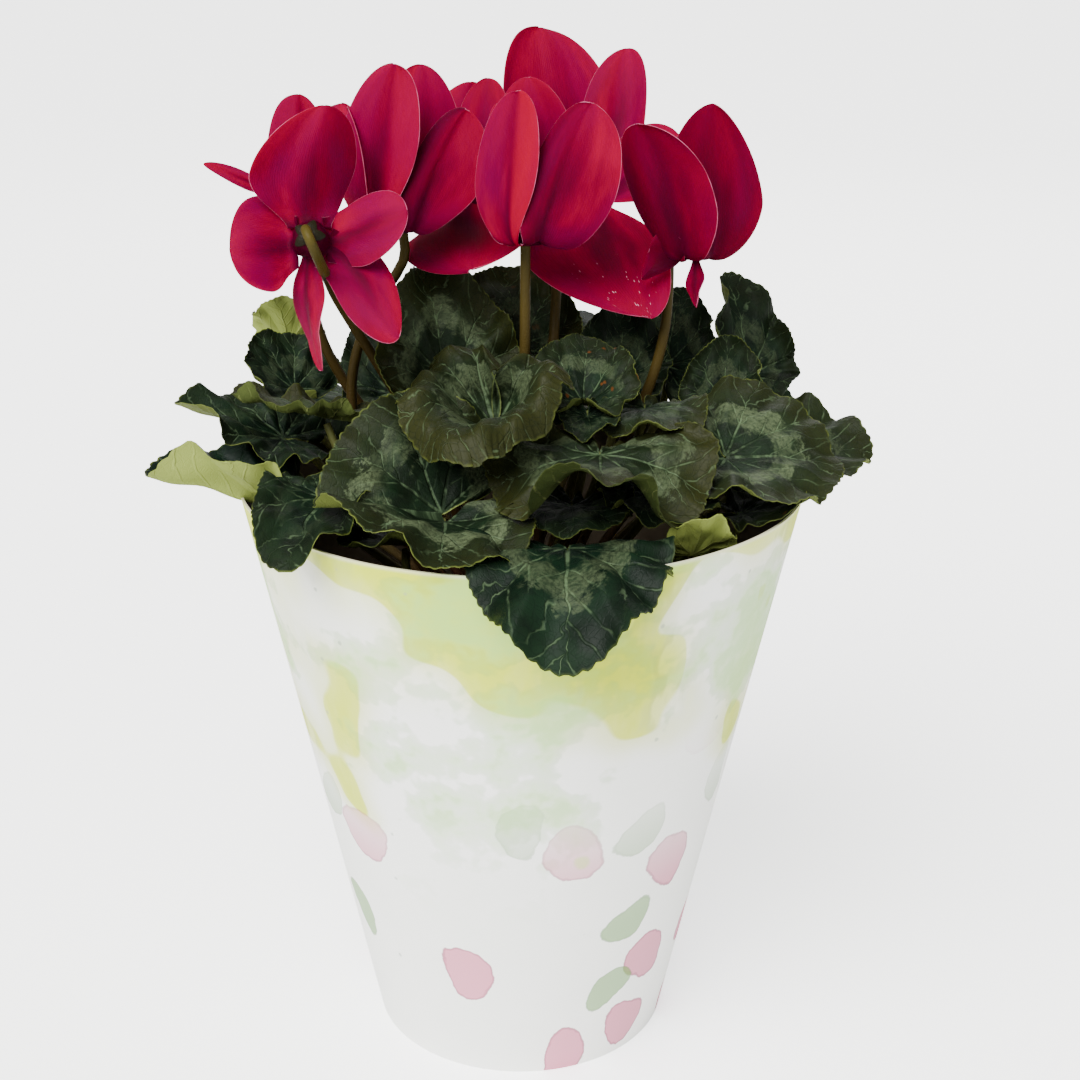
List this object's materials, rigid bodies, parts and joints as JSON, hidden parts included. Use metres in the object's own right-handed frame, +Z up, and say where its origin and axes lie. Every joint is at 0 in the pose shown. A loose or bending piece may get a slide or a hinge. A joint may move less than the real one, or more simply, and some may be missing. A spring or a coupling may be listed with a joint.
{
  "type": "potted cyclamen",
  "caption": "Flowering cyclamen with swept-back petals over a mound of round leaves, in a nursery pot inside a tapered printed card sleeve.",
  "frame": {"origin": "middle of the sleeve's foot, on the surface the plant stands on, with the canopy centred over it", "axes": "+Z up along the pot's axis; -Y toward the side that the picture shows; +X to its right"},
  "size_m": [0.2246, 0.2295, 0.3264],
  "materials": {
    "printed_card": "matte",
    "pot_plastic": "satin",
    "potting_soil": "matte",
    "tuber_skin": "matte",
    "leaf": "satin",
    "petal": "satin",
    "stalk": "satin"
  },
  "bodies": {
    "root": {"sleeve": "printed_card", "nursery_pot": "pot_plastic", "soil": "potting_soil", "tuber": "tuber_skin", "leaf_front_left": "leaf", "leaf_front_hanging": "leaf", "leaf_front_middle": "leaf", "leaf_front_inner": "leaf", "leaf_front_right": "leaf", "leaf_right_rim": "leaf", "leaf_right_curled": "leaf", "leaf_right": "leaf", "leaf_right_tall": "leaf", "leaf_right_inner": "leaf", "leaf_right_dark": "leaf", "leaf_middle_funnel": "leaf", "leaf_middle_cupped": "leaf", "leaf_middle_low": "leaf", "leaf_middle_dark": "leaf", "leaf_middle_tall": "leaf", "leaf_behind_middle": "leaf", "leaf_left_rim": "leaf", "leaf_front_rim": "leaf", "leaf_front_deep": "leaf", "leaf_left_low": "leaf", "leaf_left": "leaf", "leaf_left_upper": "leaf", "leaf_left_edge": "leaf", "leaf_left_upright": "leaf", "leaf_left_small": "leaf", "leaf_left_dark": "leaf", "leaf_back_right": "leaf", "leaf_back_right_low": "leaf", "leaf_back": "leaf", "leaf_back_left": "leaf", "leaf_back_high": "leaf", "bloom_left": "petal", "stalk_left": "stalk", "bloom_left_behind": "petal", "stalk_left_behind": "stalk", "bloom_left_tall": "petal", "stalk_left_tall": "stalk", "bloom_behind": "petal", "stalk_behind": "stalk", "bloom_centre": "petal", "stalk_centre": "stalk", "bloom_top": "petal", "stalk_top": "stalk", "bloom_right": "petal", "stalk_right": "stalk"}
  },
  "joints": []
}
